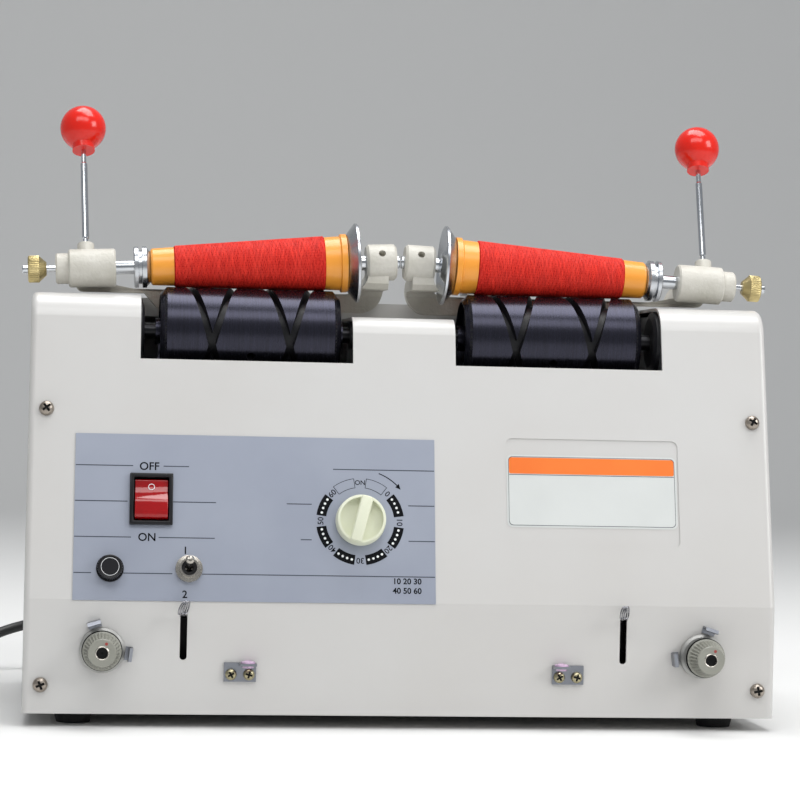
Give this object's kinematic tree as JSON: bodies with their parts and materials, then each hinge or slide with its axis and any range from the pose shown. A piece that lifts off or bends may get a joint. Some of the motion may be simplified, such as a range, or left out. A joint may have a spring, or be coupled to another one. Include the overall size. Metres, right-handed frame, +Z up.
{
  "type": "yarn cone winder",
  "caption": "Table-top electric winder with grooved traverse drums that wind yarn on tilted plastic cones held in lever-lifted cradles, with a sloped control panel.",
  "frame": {"origin": "on the table, at the middle of the winder's footprint from the knobs in front to the case's back", "axes": "+X to the user's right, +Y to the back, +Z up"},
  "size_m": [0.599, 0.3567, 0.3755],
  "materials": {
    "cream_enamel": "smooth light enamel",
    "zinc_sheet": "zinc plated sheet",
    "foot_rubber": "matt",
    "black_drum": "black, semi-gloss",
    "bearing_black": "satin",
    "steel": "machined",
    "belt_rubber": "matt",
    "motor_paint": "satin",
    "cast_cream": "rough cast, painted",
    "chrome": "polished",
    "red_ball": "glossy",
    "orange_plastic": "semi-gloss",
    "red_thread": "cross-wound",
    "brass": "knurled",
    "blue_plate": "fine metallic print",
    "black_plastic": "moulded",
    "red_rocker": "translucent red",
    "nickel": "bright",
    "ivory_plastic": "moulded",
    "board_green": "laminate with parts",
    "grey_plastic": "fluted",
    "pink_ceramic": "glazed ceramic",
    "switch_black": "moulded",
    "cord_black": "soft matt"
  },
  "bodies": {
    "root": {"front_cover": "cream_enamel", "rear_cover": "cream_enamel", "base_plate": "cream_enamel", "side_frames": "zinc_sheet", "centre_frame": "zinc_sheet", "motor_bracket": "zinc_sheet", "hinge_stands": "zinc_sheet", "rubber_feet": "foot_rubber", "shaft_bearings": "bearing_black", "pivot_pins": "steel", "cover_screws": "steel", "thread_guides": "steel", "tension_posts": "steel", "drive_belt": "belt_rubber", "motor_body": "motor_paint", "control_plate": "blue_plate", "rocker_housing": "black_plastic", "fuse_holder": "black_plastic", "toggle_switch": "nickel", "speed_control": "nickel", "control_board": "board_green", "guide_eyelets": "pink_ceramic", "wire_switches": "switch_black", "cord_relief": "cord_black", "power_cord": "cord_black", "cord_coil": "cord_black", "mains_plug": "cord_black"},
    "drums": {"drum_shaft": "steel", "drum_left": "black_drum", "drum_right": "black_drum", "drum_pulley": "steel"},
    "motor_rotor": {"motor_pulley": "steel"},
    "cradle_left_arm": {"cradle_left": "cast_cream", "lever_rod_left": "chrome", "lever_ball_left": "red_ball", "stub_axle_left": "chrome"},
    "spindle_left_rod": {"spindle_left": "chrome", "brass_nut_left": "brass"},
    "centre_left": {"end_centre_left": "chrome"},
    "package_left": {"base_disc_left": "chrome", "cone_left": "orange_plastic", "thread_left": "red_thread"},
    "cradle_right_arm": {"cradle_right": "cast_cream", "lever_rod_right": "chrome", "lever_ball_right": "red_ball", "stub_axle_right": "chrome"},
    "spindle_right_rod": {"spindle_right": "chrome", "brass_nut_right": "brass"},
    "centre_right": {"end_centre_right": "chrome"},
    "package_right": {"base_disc_right": "chrome", "cone_right": "orange_plastic", "thread_right": "red_thread"},
    "rocker": {"rocker_button": "red_rocker"},
    "toggle": {"toggle_lever": "nickel"},
    "speed_dial": {"speed_knob": "ivory_plastic"},
    "fuse": {"fuse_cap": "black_plastic"},
    "tension_left": {"tension_knob_left": "grey_plastic"},
    "tension_right": {"tension_knob_right": "grey_plastic"},
    "wire_left": {"take_up_wire_left": "chrome"},
    "wire_right": {"take_up_wire_right": "chrome"}
  },
  "joints": [
    {"name": "drum_spin", "type": "hinge", "parent": "root", "child": "drums", "pos_m": [0, -0.041, 0.2344], "axis": [1, 0, 0], "continuous": true},
    {"name": "motor_spin", "type": "hinge", "parent": "root", "child": "motor_rotor", "pos_m": [0, 0.046, 0.074], "axis": [1, 0, 0], "continuous": true},
    {"name": "cradle_left_lift", "type": "hinge", "parent": "root", "child": "cradle_left_arm", "pos_m": [0, 0.044, 0.27], "axis": [-1, 0, 0], "range_deg": [0, 50]},
    {"name": "spindle_left_pull", "type": "slide", "parent": "cradle_left_arm", "child": "spindle_left_rod", "axis": [-0.9989, 0, -0.0466], "range_m": [0, 0.01], "stiffness_N_per_m": 400, "springref_m": -0.005},
    {"name": "centre_left_spin", "type": "hinge", "parent": "spindle_left_rod", "child": "centre_left", "pos_m": [0, -0.037, 0.28074], "axis": [0.9989, 0, 0.0466], "continuous": true},
    {"name": "package_left_spin", "type": "hinge", "parent": "cradle_left_arm", "child": "package_left", "pos_m": [0, -0.037, 0.28074], "axis": [0.9989, 0, 0.0466], "continuous": true},
    {"name": "cradle_right_lift", "type": "hinge", "parent": "root", "child": "cradle_right_arm", "pos_m": [0, 0.044, 0.27], "axis": [-1, 0, 0], "range_deg": [0, 50]},
    {"name": "spindle_right_pull", "type": "slide", "parent": "cradle_right_arm", "child": "spindle_right_rod", "axis": [0.9989, 0, -0.0466], "range_m": [0, 0.01], "stiffness_N_per_m": 400, "springref_m": -0.005},
    {"name": "centre_right_spin", "type": "hinge", "parent": "spindle_right_rod", "child": "centre_right", "pos_m": [0, -0.037, 0.28074], "axis": [0.9989, 0, -0.0466], "continuous": true},
    {"name": "package_right_spin", "type": "hinge", "parent": "cradle_right_arm", "child": "package_right", "pos_m": [0, -0.037, 0.28074], "axis": [0.9989, 0, -0.0466], "continuous": true},
    {"name": "rocker_press", "type": "hinge", "parent": "root", "child": "rocker", "pos_m": [-0.1517, -0.08975, 0.13284], "axis": [1, 0, 0], "range_deg": [0, 18]},
    {"name": "toggle_flip", "type": "hinge", "parent": "root", "child": "toggle", "pos_m": [-0.129, -0.10227, 0.09324], "axis": [1, 0, 0], "range_deg": [0, 24]},
    {"name": "speed_turn", "type": "hinge", "parent": "root", "child": "speed_dial", "pos_m": [-0.0275, -0.09529, 0.12254], "axis": [0, -0.9728, 0.2317], "range_deg": [-302, 13]},
    {"name": "fuse_cap_pull", "type": "slide", "parent": "root", "child": "fuse", "axis": [0, -0.9728, 0.2317], "range_m": [0, 0.04]},
    {"name": "tension_left_turn", "type": "hinge", "parent": "root", "child": "tension_left", "pos_m": [-0.179, -0.106, 0.0455], "axis": [0, -1, 0], "range_deg": [-360, 360]},
    {"name": "tension_right_turn", "type": "hinge", "parent": "root", "child": "tension_right", "pos_m": [0.179, -0.106, 0.0455], "axis": [0, -1, 0], "range_deg": [-360, 360]},
    {"name": "wire_left_swing", "type": "hinge", "parent": "root", "child": "wire_left", "pos_m": [-0.1315, -0.082, 0.065], "axis": [1, 0, 0], "range_deg": [0, 35], "stiffness_Nm_per_rad": 0.01, "springref_deg": -11.46},
    {"name": "wire_right_swing", "type": "hinge", "parent": "root", "child": "wire_right", "pos_m": [0.1315, -0.082, 0.065], "axis": [1, 0, 0], "range_deg": [0, 35], "stiffness_Nm_per_rad": 0.01, "springref_deg": -11.46}
  ],
  "couplings": [
    {"joint": "motor_spin", "follows": "drum_spin", "ratio": 1.5},
    {"joint": "centre_left_spin", "follows": "drum_spin", "ratio": -1.8418},
    {"joint": "package_left_spin", "follows": "drum_spin", "ratio": -1.8418},
    {"joint": "centre_right_spin", "follows": "drum_spin", "ratio": -1.8418},
    {"joint": "package_right_spin", "follows": "drum_spin", "ratio": -1.8418}
  ]
}
